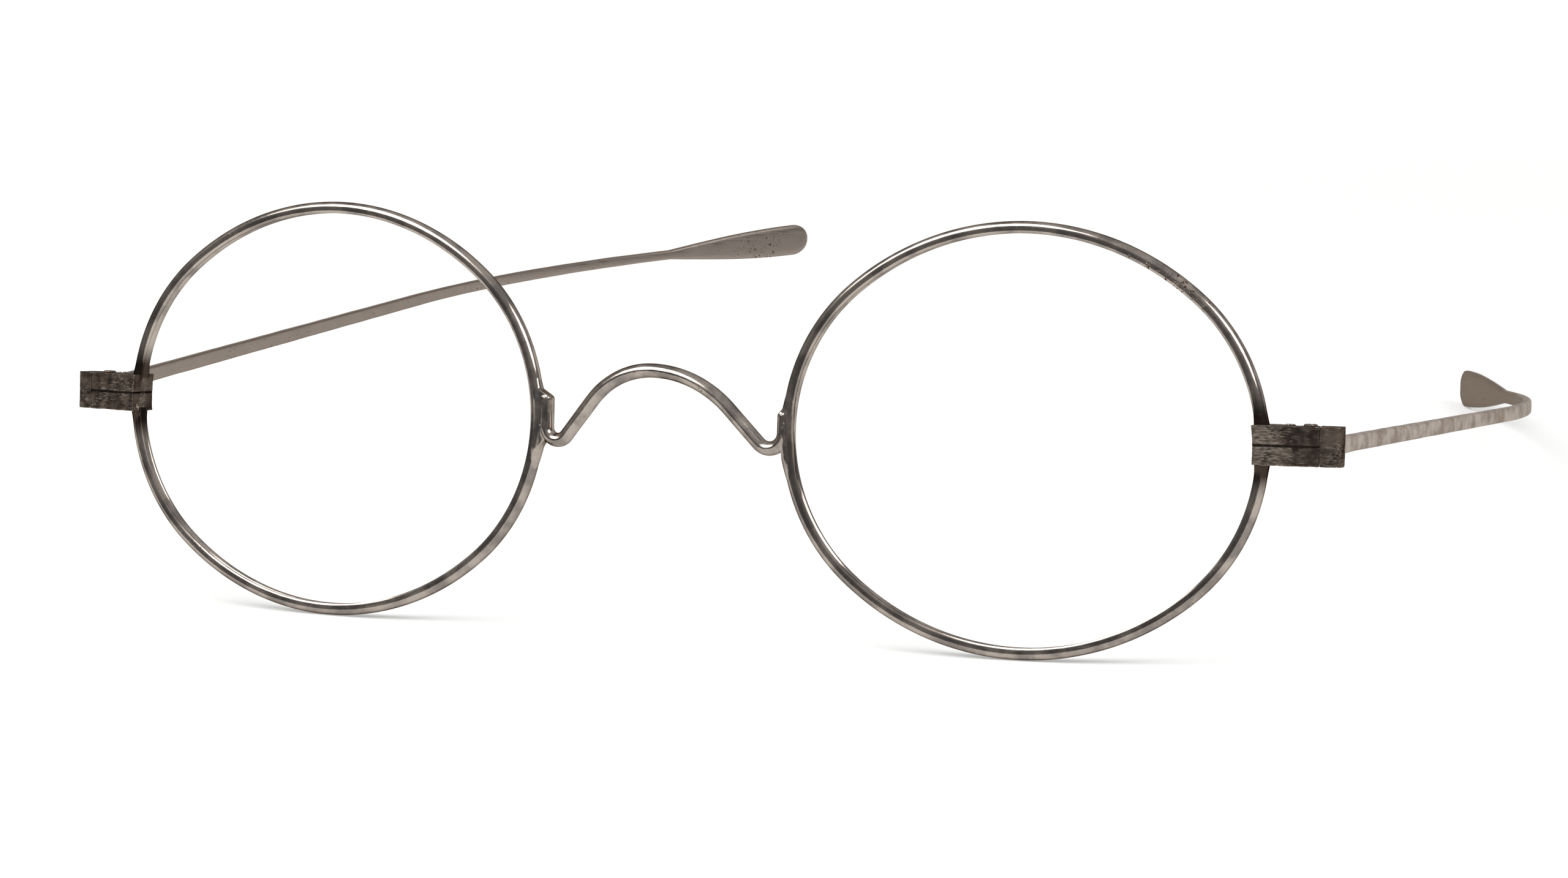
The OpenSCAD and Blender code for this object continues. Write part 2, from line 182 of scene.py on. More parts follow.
def node(tree, kind, inputs=None, **settings):
    """Adds a node with its settings; an input takes a value, a socket or another node."""
    made = tree.nodes.new(kind)
    for key, value in settings.items():
        setattr(made, key, value)
    for key, value in (inputs or {}).items():
        if isinstance(value, bpy.types.Node):
            value = next(socket for socket in value.outputs if socket.enabled)
        if isinstance(value, bpy.types.NodeSocket):
            tree.links.new(value, made.inputs[key])
        else:
            made.inputs[key].default_value = value
    return made


def steel_patterns(tree, place, run, blotch_mm, grain_mm, pit_mm):
    """Noises of real sizes: blotches, a grain drawn out along the piece, pits and wider patches."""
    patch_mm = 5.5
    drawn_out = node(tree, "ShaderNodeMapping", {"Vector": run, "Scale": (0.05, 1.0, 1.0)})
    return [
        node(tree, "ShaderNodeTexNoise", {
            "Vector": where, "Scale": scale, "Detail": detail, "Roughness": 0.6})
        for where, scale, detail in (
            (place, MM_IN_METRE / blotch_mm, 6.0),
            # The grain follows the run attribute, which is in millimetres
            (drawn_out, 1 / grain_mm, 4.0),
            (place, MM_IN_METRE / pit_mm, 3.0),
            (place, MM_IN_METRE / patch_mm, 2.0))]


def painted_shade_side(tree, run):
    """The share of painted shade: all on the side towards the head, and none outside."""
    across = node(tree, "ShaderNodeSeparateXYZ", {"Vector": run}).outputs["Y"]
    return node(tree, "ShaderNodeMapRange", {
        "Value": across, "From Min": 0.3, "From Max": -0.1}, **SOFT)


def rubbed_bright(tree, streak, patch):
    """The share that is rubbed bright: lines along the file marks, and edges."""
    lines = node(tree, "ShaderNodeMath", {0: streak, 1: 0.9, 2: patch}, operation="MULTIPLY_ADD")
    filed = node(tree, "ShaderNodeMapRange", {
        "Value": lines, "From Min": 0.94, "From Max": 1.3, "To Max": 0.6}, **SOFT)
    point = node(tree, "ShaderNodeNewGeometry").outputs["Pointiness"]
    edges = node(tree, "ShaderNodeMapRange", {
        "Value": point, "From Min": 0.53, "From Max": 0.6}, **SOFT)
    return node(tree, "ShaderNodeMath", {0: filed, 1: edges}, operation="MAXIMUM")


def stain_and_shade_share(tree, blotch):
    """The share of the piece's own stain attribute with an uneven edge: dirt in the end pieces' splits, painted
    shade on their faces towards the eyes, and the rims' darkening near the end pieces.
    """
    near = node(tree, "ShaderNodeAttribute", attribute_name="stain").outputs["Fac"]
    uneven = node(tree, "ShaderNodeMath", {0: blotch, 1: 0.6, 2: near}, operation="MULTIPLY_ADD")
    return node(tree, "ShaderNodeMapRange", {
        "Value": uneven, "From Min": 0.4, "From Max": 1.1}, **SOFT)


def rust_pits(tree, place, pit, patch, rare, spot):
    """The share of rust: pits that lie in patches, and more of them round a spot."""
    gathered = node(tree, "ShaderNodeMath", {0: patch, 1: 0.42, 2: pit}, operation="MULTIPLY_ADD")
    if spot is not None:
        centre, reach = spot
        away = node(tree, "ShaderNodeVectorMath", {0: place, 1: centre}, operation="DISTANCE")
        near = node(tree, "ShaderNodeMapRange", {
            "Value": away, "From Min": reach, "From Max": 0.0, "To Max": 0.2}, **SOFT)
        gathered = node(tree, "ShaderNodeMath", {0: gathered, 1: near}, operation="ADD")
    return node(tree, "ShaderNodeMapRange", {
        "Value": gathered, "From Min": rare, "From Max": rare + 0.05}, **SOFT)


def aged_steel(name, low, high, rust, rough, blotch_mm, grain, pits,
               spot=None, worn=None, side=None, stain_and_shade=None, edge_shade_tint="#7a726c"):
    """Bare steel: two tones in blotches, a grain along the piece, and pits of rust.

    rough holds the least and the most roughness, and grain the grain's width and depth in
    millimetres. pits holds the pits' size in millimetres and how rare they are, and spot a
    place where they gather and its radius, both in metres. worn is the colour of the steel
    where it is rubbed bright, side the colour of painted shade on the piece's inner side, and
    stain_and_shade the colour where the piece's own stain attribute lies, which on the end
    pieces is dirt in the split and painted shade on the face towards the eye. edge_shade_tint
    darkens glancing reflections, as oxide does, and so paints shade along the edges.
    """
    material = bpy.data.materials.new(name)
    material.use_nodes = True
    tree = material.node_tree
    tree.nodes.clear()
    place = node(tree, "ShaderNodeTexCoord").outputs["Object"]
    run = node(tree, "ShaderNodeAttribute", attribute_name="run").outputs["Vector"]
    blotch, streak, pit, patch = steel_patterns(tree, place, run, blotch_mm, grain[0], pits[0])

    tones = node(tree, "ShaderNodeMapRange", {
        "Value": blotch, "From Min": 0.38, "From Max": 0.62}, **SOFT)
    layers = [(tones, high)]
    # Painted shade on the inner side
    if side is not None:
        layers.append((painted_shade_side(tree, run), side))
    if worn is not None:
        layers.append((rubbed_bright(tree, streak, patch), worn))
    # The stain attribute's colour, which also holds painted shade on the end pieces' faces towards the eyes
    if stain_and_shade is not None:
        layers.append((stain_and_shade_share(tree, blotch), stain_and_shade))
    pitted = rust_pits(tree, place, pit, patch, pits[1], spot)
    layers.append((pitted, rust))
    skin = low
    for share, over in layers:
        skin = node(tree, "ShaderNodeMix", {
            FACTOR: share, COLOUR_A: skin, COLOUR_B: over}, data_type="RGBA")

    # Rust is rougher than the steel, and mostly no metal
    uneven = node(tree, "ShaderNodeMath", {0: blotch, 1: 0.6, 2: streak}, operation="MULTIPLY_ADD")
    clean = node(tree, "ShaderNodeMapRange", {
        "Value": uneven, "From Min": 0.55, "From Max": 1.05,
        "To Min": rough[0], "To Max": rough[1]}, **SOFT)
    roughness = node(tree, "ShaderNodeMath", {0: pitted, 1: 0.4, 2: clean}, operation="MULTIPLY_ADD")
    metal = node(tree, "ShaderNodeMath", {0: pitted, 1: -0.7, 2: 1.0}, operation="MULTIPLY_ADD")

    pit_depth = 0.03 * MM
    grained = node(tree, "ShaderNodeBump", {
        "Height": streak, "Strength": 1.0, "Distance": grain[1] * MM})
    dented = node(tree, "ShaderNodeBump", {
        "Height": pitted, "Normal": grained, "Strength": 1.0, "Distance": pit_depth}, invert=True)
    # The tint darkens reflections at a glancing angle, as old oxide does, and so paints shade along the edges as
    # dark outlines
    shader = node(tree, "ShaderNodeBsdfPrincipled", {
        "Base Color": skin, "Roughness": roughness, "Metallic": metal, "Normal": dented,
        "Specular Tint": linear(edge_shade_tint)})
    node(tree, "ShaderNodeOutputMaterial", {"Surface": shader})
    return material


def polished_wire_steel(colours):
    # Drawn steel wire, polished: sharp reflections, with rust only where it has gathered
    return aged_steel(
        "polished drawn steel wire", colours.grey, colours.bright, colours.rust,
        rough=(0.07, 0.2), blotch_mm=3.2, grain=(0.09, 0.002), pits=(0.34, 0.94),
        spot=RUST_SPOT, stain_and_shade=colours.stain)


def filed_arch_steel(colours):
    # Bridge wire bent and filed by hand: broader, softer highlights
    return aged_steel(
        "hand-filed steel bridge", colours.grey, colours.bright, colours.rust,
        rough=(0.08, 0.22), blotch_mm=2.4, grain=(0.1, 0.004), pits=(0.3, 0.95))


def stained_block_steel(colours):
    # Filed steel blocks with a brown-black oxide, rubbed bright on edges and file marks, with dirt in the end
    # pieces' splits and painted shade on their faces towards the eyes
    return aged_steel(
        "oxidised filed steel block", colours.stain, colours.umber, colours.rust,
        rough=(0.3, 0.5), blotch_mm=1.3, grain=(0.13, 0.016), pits=(0.25, 0.92),
        worn=colours.worn, stain_and_shade=colours.dirt)


def dull_bar_steel(colours):
    # Flattened steel bar with the dull skin of age, and painted shade on the side that lies to the head
    return aged_steel(
        "dull aged steel bar", colours.ash, colours.pewter, colours.rust,
        rough=(0.26, 0.42), blotch_mm=2.2, grain=(0.12, 0.006), pits=(0.24, 0.88),
        side=colours.inner, edge_shade_tint="#b5aca4")


def screw_steel(colours):
    # Small turned screws, dark in the slot and rubbed on the rim of the head
    return aged_steel(
        "dark turned screw steel", colours.stain, colours.umber, colours.rust,
        rough=(0.28, 0.45), blotch_mm=0.8, grain=(0.1, 0.006), pits=(0.2, 0.95),
        worn=colours.worn)


def material_of(build):
    """The material that a function builds, made once."""
    name = build.__name__
    if name not in _made:
        _made[name] = build(bpy.context.scene.spectacle_colours)
    return _made[name]


def eye_matrix(side):
    """An eye's frame: outwards, back and up from its centre; the left one is mirrored."""
    seat = MOUNTS[f"lens_seat_{side}"]
    hand = -1 if side == LEFT else 1
    back = -Vector(seat["axis"]).normalized()
    up = Vector(JOINTS[f"temple_{side}_fold"]["axis"]).normalized() * hand
    out = back.cross(up) * hand
    turn = Matrix((out, back, up)).transposed().to_4x4()
    return Matrix.Translation(Vector(seat["pos_m"])) @ turn


def seat_x(side):
    """How far an eye's centre is from the middle, in millimetres."""
    return abs(MOUNTS[f"lens_seat_{side}"]["pos_m"][0]) / MM


def height_in_eye(side):
    """An eye's upward direction, and the rule for a point's height over its centre."""
    matrix = eye_matrix(side)
    up = matrix.col[2].to_3d()
    centre = matrix.translation / MM
    return up, lambda co: (co - centre).dot(up)


def front_matrix(sizes):
    """The front's frame: right, back and up from the middle between the rims' nose sides."""
    up = Vector(JOINTS["temple_right_fold"]["axis"]).normalized()
    across = Vector((1, 0, 0))
    back = up.cross(across)
    seats = [Vector(MOUNTS[f"lens_seat_{side}"]["pos_m"]) for side in SIDES]
    middle = (seats[0] + seats[1]) / 2 - back * sizes.eye_half_w * math.sin(sizes.wrap) * MM
    turn = Matrix((across, back, up)).transposed().to_4x4()
    return Matrix.Translation(middle) @ turn


def only(piece):
    """Selects one object and nothing else, in object mode."""
    if bpy.context.object and bpy.context.object.mode != "OBJECT":
        bpy.ops.object.mode_set(mode="OBJECT")
    bpy.ops.object.select_all(action="DESELECT")
    piece.select_set(True)
    bpy.context.view_layer.objects.active = piece


def edit(piece):
    """Opens one object in edit mode with its whole mesh selected."""
    only(piece)
    bpy.ops.object.mode_set(mode="EDIT")
    bpy.ops.mesh.select_all(action="SELECT")


def ring(count, shape):
    """Adds a circle of vertices in the XY plane and moves each to where shape puts its angle."""
    bpy.ops.mesh.primitive_circle_add(vertices=count, radius=1.0, fill_type="NOTHING")
    made = bpy.context.object
    for vertex in made.data.vertices:
        turn = math.atan2(vertex.co.y, vertex.co.x)
        vertex.co = Vector((*shape(turn), 0.0))
    return made


def spin(degrees, centre, steps):
    """Carries the selected ring round a centre in the XZ plane, anticlockwise from the front."""
    bpy.ops.mesh.spin(steps=steps, angle=math.radians(degrees), center=(centre[0], 0, centre[1]),
                      axis=(0, 1, 0), use_auto_merge=False)


def extrude(vector, steps):
    """Carries the selected ring straight along a vector."""
    step = Vector(vector) / steps
    for _ in range(steps):
        bpy.ops.mesh.extrude_region_move(TRANSFORM_OT_translate={"value": step})


def close_solid():
    """Caps open ends and points every face outwards."""
    bpy.ops.mesh.select_all(action="SELECT")
    bpy.ops.mesh.remove_doubles(threshold=0.0001)
    bpy.ops.mesh.fill_holes(sides=0)
    bpy.ops.mesh.normals_make_consistent(inside=False)
    bpy.ops.object.mode_set(mode="OBJECT")


def modify(piece, kind, **settings):
    """Adds a modifier and applies it."""
    only(piece)
    modifier = piece.modifiers.new(kind, kind)
    for key, value in settings.items():
        setattr(modifier, key, value)
    bpy.ops.object.modifier_apply(modifier=modifier.name)


def roughen(piece, size, depth):
    """Moves the surface in and out a little, as handwork and wear leave it."""
    name = f"clouds {size}"
    clouds = bpy.data.textures.get(name) or bpy.data.textures.new(name, "CLOUDS")
    clouds.noise_scale = size
    modify(piece, "DISPLACE", texture=clouds, strength=depth, mid_level=0.5, texture_coords="LOCAL")


def set_run(piece, rule):
    """Stores where each point lies along, across and through its piece, for the grain."""
    run = piece.data.attributes.new("run", "FLOAT_VECTOR", "POINT")
    for vertex in piece.data.vertices:
        run.data[vertex.index].vector = rule(vertex.co)


def finish_piece(piece, name, matrix, body, material, nodes):
    """Places a piece in metres, names it, hangs it under its body and hides the CAD nodes that it stands for."""
    sharpest_smooth = math.radians(38)
    piece.name = name
    piece.data.name = name
    piece.matrix_world = matrix @ Matrix.Scale(MM, 4)
    only(piece)
    bpy.ops.object.transform_apply(location=True, rotation=True, scale=True)
    edit(piece)
    bpy.ops.mesh.normals_make_consistent(inside=False)
    bpy.ops.object.mode_set(mode="OBJECT")
    bpy.ops.object.shade_smooth_by_angle(angle=sharpest_smooth)
    piece.data.materials.clear()
    piece.data.materials.append(material_of(material))
    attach(piece, body)
    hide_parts(*nodes)


def rim_section(sizes):
    """The wire's outline by angle: rounded outside, a flat inside with the V groove."""
    inside = sizes.round_r - sizes.wire_t / 2
    half_t = sizes.wire_t / 2
    half_d = sizes.wire_d / 2
    lip = math.pi - math.acos((half_t - inside) / sizes.round_r)
    lip_y = min(half_d, sizes.round_r * math.sin(lip))
    half_mouth = sizes.groove_w / 2

    def shape(turn):
        if abs(turn) <= lip:
            y = sizes.round_r * math.sin(turn)
            return sizes.round_r * math.cos(turn) - inside, max(-half_d, min(half_d, y))
        y = math.copysign(lip_y * (math.pi - abs(turn)) / (math.pi - lip), turn)
        depth = max(0.0, 1 - abs(y) / half_mouth) * sizes.groove_d
        return -half_t + depth, y

    return shape


def eye_arcs(sizes):
    """The angle where the oval's arcs join, and how far their centres are from the eye's."""
    half_h, end_r = sizes.eye_half_h, sizes.eye_end_r
    end_c = sizes.eye_half_w - end_r
    side_c = (end_c ** 2 + half_h ** 2 - end_r ** 2) / (2 * (half_h - end_r)) - half_h
    join = math.degrees(math.atan2(side_c, end_c))
    return join, end_c, side_c


def eye_run(sizes):
    """Rule for the grain on a rim: along the wire, outwards from the oval, and back."""
    def rule(co):
        turn = math.atan2(co.z / sizes.eye_half_h, co.x / sizes.eye_half_w)
        out = math.hypot(co.x, co.z) - math.hypot(
            sizes.eye_half_w * math.cos(turn), sizes.eye_half_h * math.sin(turn))
        return turn * sizes.eye_half_w, out, co.y
    return rule


class SPECTACLES_OT_rims(bpy.types.Operator):
    """Spins the grooved wire of each rim round the four arcs of its oval"""
    bl_idname = "spectacles.rims"
    bl_label = "Rims"

    # The share by which braze thickens the wire where it meets the end piece
    swell = 0.16

    def execute(self, context):
        for side in SIDES:
            self.rim(context.scene.spectacle_rims, side)
        return {"FINISHED"}

    def rim(self, sizes, side):
        """One rim, from the end piece's top over the brow and the nose to its bottom."""
        join, end_c, side_c = eye_arcs(sizes)
        first, last = (
            math.degrees(math.asin((height - sizes.buried) / sizes.eye_end_r))
            for height in (sizes.end_top, sizes.end_low))
        wire = ring(40, rim_section(sizes))
        wire.data.transform(Matrix.Translation((end_c, 0, 0))
                            @ Matrix.Rotation(-math.radians(first), 4, "Y")
                            @ Matrix.Translation((sizes.eye_end_r, 0, 0)))
        edit(wire)
        spin(join - first, (end_c, 0), steps=44)
        spin(180 - 2 * join, (0, -side_c), steps=66)
        spin(2 * join, (-end_c, 0), steps=90)
        spin(180 - 2 * join, (0, side_c), steps=66)
        spin(join - last, (end_c, 0), steps=44)
        close_solid()
        self.fillet(sizes, wire, end_c)
        roughen(wire, size=2.6, depth=0.012)
        set_run(wire, eye_run(sizes))
        self.stain(sizes, wire)
        finish_piece(wire, f"rim_wire_{side}", eye_matrix(side), "front",
                     polished_wire_steel, [f"rim_{side}"])

    def near_end(self, sizes, co, reach):
        """One at the end piece's top or bottom, falling to none at a reach along the wire."""
        if co.x <= 0:
            return 0.0
        away = abs(co.z) - (sizes.end_top if co.z > 0 else sizes.end_low)
        return max(0.0, 1 - max(0.0, away) / reach)

    def fillet(self, sizes, wire, end_c):
        """Thickens the wire a little where braze joins it to the end piece."""
        for vertex in wire.data.vertices:
            near = self.near_end(sizes, vertex.co, sizes.fillet)
            if near > 0:
                out = math.sqrt(sizes.eye_end_r ** 2 - vertex.co.z ** 2)
                middle = Vector((end_c + out, 0, vertex.co.z))
                vertex.co += (vertex.co - middle) * self.swell * near * near

    def stain(self, sizes, wire):
        """Stores how near each point of the wire lies to the end piece, where the wire is coloured darker."""
        stain = wire.data.attributes.new("stain", "FLOAT", "POINT")
        for vertex in wire.data.vertices:
            stain.data[vertex.index].value = self.near_end(sizes, vertex.co, sizes.stain)


class SPECTACLES_OT_bridge(bpy.types.Operator):
    """Bends the bridge from one bar, lays its ends on the rims and flows braze round them"""
    bl_idname = "spectacles.bridge"
    bl_label = "Bridge"

    # The power of the section's outline: 1 gives an ellipse, and more gives sharper ridges
    ridge = 1.3
    # How much longer the bar is than its reach to the side, since its legs are steep
    steepness = 1.3
    # How far from its ends the braze sinks into the wire, and by what share
    sink_reach = 1.8
    sink = 0.26
    # The ramp of braze runs from a little short of the middle of the rim's wire to past the
    # middle of the upturned end, and there it reaches over the end and under the eye's centre
    ramp_short, ramp_past = 0.1, 0.35
    ramp_over_tab, ramp_foot = 0.1, 1.2

    def execute(self, context):
        rims = context.scene.spectacle_rims
        sizes = context.scene.spectacle_bridge
        bar = self.bar(sizes)
        brazes = [self.braze(rims, sizes, side) for side in SIDES]
        only(bar)
        for braze in brazes:
            braze.select_set(True)
        bpy.ops.object.join()
        modify(bar, "REMESH", mode="VOXEL", voxel_size=0.07)
        modify(bar, "SMOOTH", factor=0.5, iterations=9)
        roughen(bar, size=2.2, depth=0.03)
        ends = min(sizes.tab_x) - max(sizes.hook_r) / 2

        def along_bar(co):
            # Past the hooks the bar stands upright
            return (co.z, co.x, co.y) if abs(co.x) > ends else (co.x * self.steepness, co.z, co.y)

        set_run(bar, along_bar)
        finish_piece(bar, "bridge_bar", front_matrix(rims), "front",
                     filed_arch_steel, ["bridge"])
        return {"FINISHED"}

    def flattened(self, sizes, turn):
        """The bar's outline: hammered above and below, with a blunt ridge in front and behind."""
        depth = math.copysign(abs(math.sin(turn)) ** self.ridge, turn)
        return sizes.bar_t / 2 * math.cos(turn), sizes.bar_d / 2 * depth

    def half_route(self, sizes, index):
        """One half's hook, as its centre, and the length of its leg."""
        sign = (-1, 1)[index]
        leg, hook, arch_r = sizes.leg[index], sizes.hook_r[index], sizes.arch_r[index]
        leg_top = Vector((arch_r * math.sin(leg), sizes.arch_z - arch_r * (1 - math.cos(leg))))
        reach = sizes.tab_x[index] - sign * sizes.arch_x - hook
        # The hook's centre lies one hook radius over the leg's line
        hook_z = leg_top.y + (hook - (reach - leg_top.x) * math.sin(leg)) / math.cos(leg)
        leg_low = Vector((reach - hook * math.sin(leg), hook_z - hook * math.cos(leg)))
        return (sign * reach + sizes.arch_x, hook_z), (leg_low - leg_top).length

    def bar(self, sizes):
        """The bar, from the left end down round its hook, over the arch and up to the right end."""
        hooks, legs = zip(*(self.half_route(sizes, index) for index in (0, 1)))
        left_leg, right_leg = sizes.leg
        made = ring(32, lambda turn: self.flattened(sizes, turn))
        made.data.transform(Matrix.Translation((-sizes.tab_x[0], 0, sizes.tab_top[0])))
        edit(made)
        extrude((0, 0, hooks[0][1] - sizes.tab_top[0]), steps=5)
        spin(90 + math.degrees(left_leg), hooks[0], steps=24)
        extrude((legs[0] * math.cos(left_leg), 0, legs[0] * math.sin(left_leg)), steps=8)
        spin(-math.degrees(left_leg), (sizes.arch_x, sizes.arch_z - sizes.arch_r[0]), steps=20)
        spin(-math.degrees(right_leg), (sizes.arch_x, sizes.arch_z - sizes.arch_r[1]), steps=24)
        extrude((legs[1] * math.cos(right_leg), 0, -legs[1] * math.sin(right_leg)), steps=8)
        spin(90 + math.degrees(right_leg), hooks[1], steps=24)
        extrude((0, 0, sizes.tab_top[1] - hooks[1][1]), steps=5)
        close_solid()
        return made

    def braze(self, rims, sizes, side):
        """Braze round the rim's nose side, with a ramp between it and the upturned end."""
        tab_x = sizes.tab_x[SIDES.index(side)]
        tab_top = sizes.tab_top[SIDES.index(side)]
        nose_x = seat_x(side) - rims.eye_half_w * math.cos(rims.wrap)
        centre_x = nose_x + rims.eye_end_r
        top, low = tab_top + sizes.braze_top, -sizes.braze_low
        first, last = (math.degrees(math.asin(z / rims.eye_end_r)) for z in (top, low))
        skin = ring(24, lambda turn: (
            sizes.braze_t * math.cos(turn), sizes.braze_d * math.sin(turn)))
        skin.data.transform(Matrix.Translation((centre_x, 0, 0))
                            @ Matrix.Rotation(-math.radians(180 - first), 4, "Y")
                            @ Matrix.Translation((rims.eye_end_r + sizes.braze_out, 0, 0)))
        edit(skin)
        spin(first - last, (centre_x, 0), steps=30)
        close_solid()
        self.sink_ends(skin, rims, centre_x, top, low)

        at_rim = (nose_x - self.ramp_short, tab_top + sizes.ramp_top, -sizes.ramp_low)
        at_tab = (tab_x - self.ramp_past, tab_top + self.ramp_over_tab, -self.ramp_foot)
        bpy.ops.mesh.primitive_cube_add(size=1.0)
        ramp = bpy.context.object
        for vertex in ramp.data.vertices:
            x, high, foot = at_rim if vertex.co.x > 0 else at_tab
            z = high if vertex.co.z > 0 else foot
            vertex.co = Vector((x, math.copysign(sizes.ramp_d, vertex.co.y), z))
        only(skin)
        ramp.select_set(True)
        bpy.ops.object.join()
        if side == LEFT:
            skin.data.transform(Matrix.Scale(-1, 4, (1, 0, 0)))
        edit(skin)
        bpy.ops.mesh.normals_make_consistent(inside=False)
        bpy.ops.object.mode_set(mode="OBJECT")
        return skin

    def sink_ends(self, skin, rims, centre_x, top, low):
        """Narrows the braze at both ends until it is under the wire's surface."""
        for vertex in skin.data.vertices:
            near = 1 - min(top - vertex.co.z, vertex.co.z - low) / self.sink_reach
            if near > 0:
                out = Vector((vertex.co.x - centre_x, 0, vertex.co.z)).normalized()
                middle = Vector((centre_x, 0, 0)) + out * rims.eye_end_r
                vertex.co += (middle - vertex.co) * self.sink * min(1.0, near)


def worked_copy(node_name, voxel, smooth, clouds, depth):
    """A copy of a CAD node in millimetres, its edges softened and its faces filed uneven."""
    copy = bpy.data.objects.new(node_name + "_worked", frame["nodes"][node_name].data.copy())
    bpy.context.scene.collection.objects.link(copy)
    copy.data.transform(Matrix.Scale(1 / MM, 4))
    edit(copy)
    bpy.ops.mesh.remove_doubles(threshold=0.0005)
    bpy.ops.object.mode_set(mode="OBJECT")
    modify(copy, "REMESH", mode="VOXEL", voxel_size=voxel)
    modify(copy, "SMOOTH", factor=0.5, iterations=smooth)
    roughen(copy, clouds, depth)
    set_run(copy, lambda co: (co.x, co.z, co.y))
    return copy


class SPECTACLES_OT_end_pieces(bpy.types.Operator):
    """Files the split end pieces' halves and softens their edges"""
    bl_idname = "spectacles.end_pieces"
    bl_label = "End pieces"

    # How far each half is drawn to the split, and how far from the split that is felt
    drawn = 0.045
    drawn_reach = 1.5
    # The dirt's strength in the split, the painted shade's strength on the face towards the eye, and the reach of
    # each
    split_dirt, split_reach = 1.3, 0.12
    face_dirt, face_reach = 0.5, 0.6

    def execute(self, context):
        sizes = context.scene.spectacle_rims
        for side in SIDES:
            for half in ("upper", "lower"):
                name = f"end_piece_{half}_{side}"
                block = worked_copy(name, voxel=0.055, smooth=3, clouds=0.9, depth=0.07)
                self.draw_to_split(block, sizes, side)
                self.stain(block, sizes, side)
                finish_piece(block, f"end_block_{half}_{side}", Matrix.Identity(4), "front",
                             stained_block_steel, [name])
        return {"FINISHED"}

    def draw_to_split(self, block, sizes, side):
        """Draws a half to the split, so that the closing screw seems to hold both together."""
        up, height = height_in_eye(side)
        for vertex in block.data.vertices:
            over = height(vertex.co) - sizes.end_split
            near = max(0.0, 1 - abs(over) / self.drawn_reach)
            vertex.co -= up * math.copysign(self.drawn * near, over)

    def stain(self, block, sizes, side):
        """Stores the dirt in the split and the painted shade on the face towards the eye."""
        height = height_in_eye(side)[1]
        out = Vector((-1 if side == LEFT else 1, 0, 0))
        inner = min(vertex.co.dot(out) for vertex in block.data.vertices)
        stain = block.data.attributes.new("stain", "FLOAT", "POINT")
        for vertex in block.data.vertices:
            split = self.split_dirt - abs(height(vertex.co) - sizes.end_split) / self.split_reach
            # Painted shade on the face towards the eye, falling off away from it
            face = self.face_dirt - (vertex.co.dot(out) - inner) / self.face_reach
            stain.data[vertex.index].value = max(0.0, split, face)


class SPECTACLES_OT_screws(bpy.types.Operator):
    """Files the slotted hinge and closing screws and wears their heads down"""
    bl_idname = "spectacles.screws"
    bl_label = "Screws"

    # The share of a screw's head that is worn away
    wear = 0.5

    def execute(self, context):
        for side in SIDES:
            for kind in ("hinge", "closing"):
                name = f"{kind}_screw_{side}"
                screw = worked_copy(name, voxel=0.03, smooth=2, clouds=0.5, depth=0.02)
                self.wear_head(screw, context.scene.spectacle_rims, side)
                finish_piece(screw, f"{kind}_pin_{side}", Matrix.Identity(4), "front",
                             screw_steel, [name])
        return {"FINISHED"}

    def wear_head(self, screw, sizes, side):
        """Wears a screw's head down towards the end piece's top."""
        up, height = height_in_eye(side)
        for vertex in screw.data.vertices:
            over = height(vertex.co) - sizes.end_top
            if over > 0:
                vertex.co -= up * over * self.wear


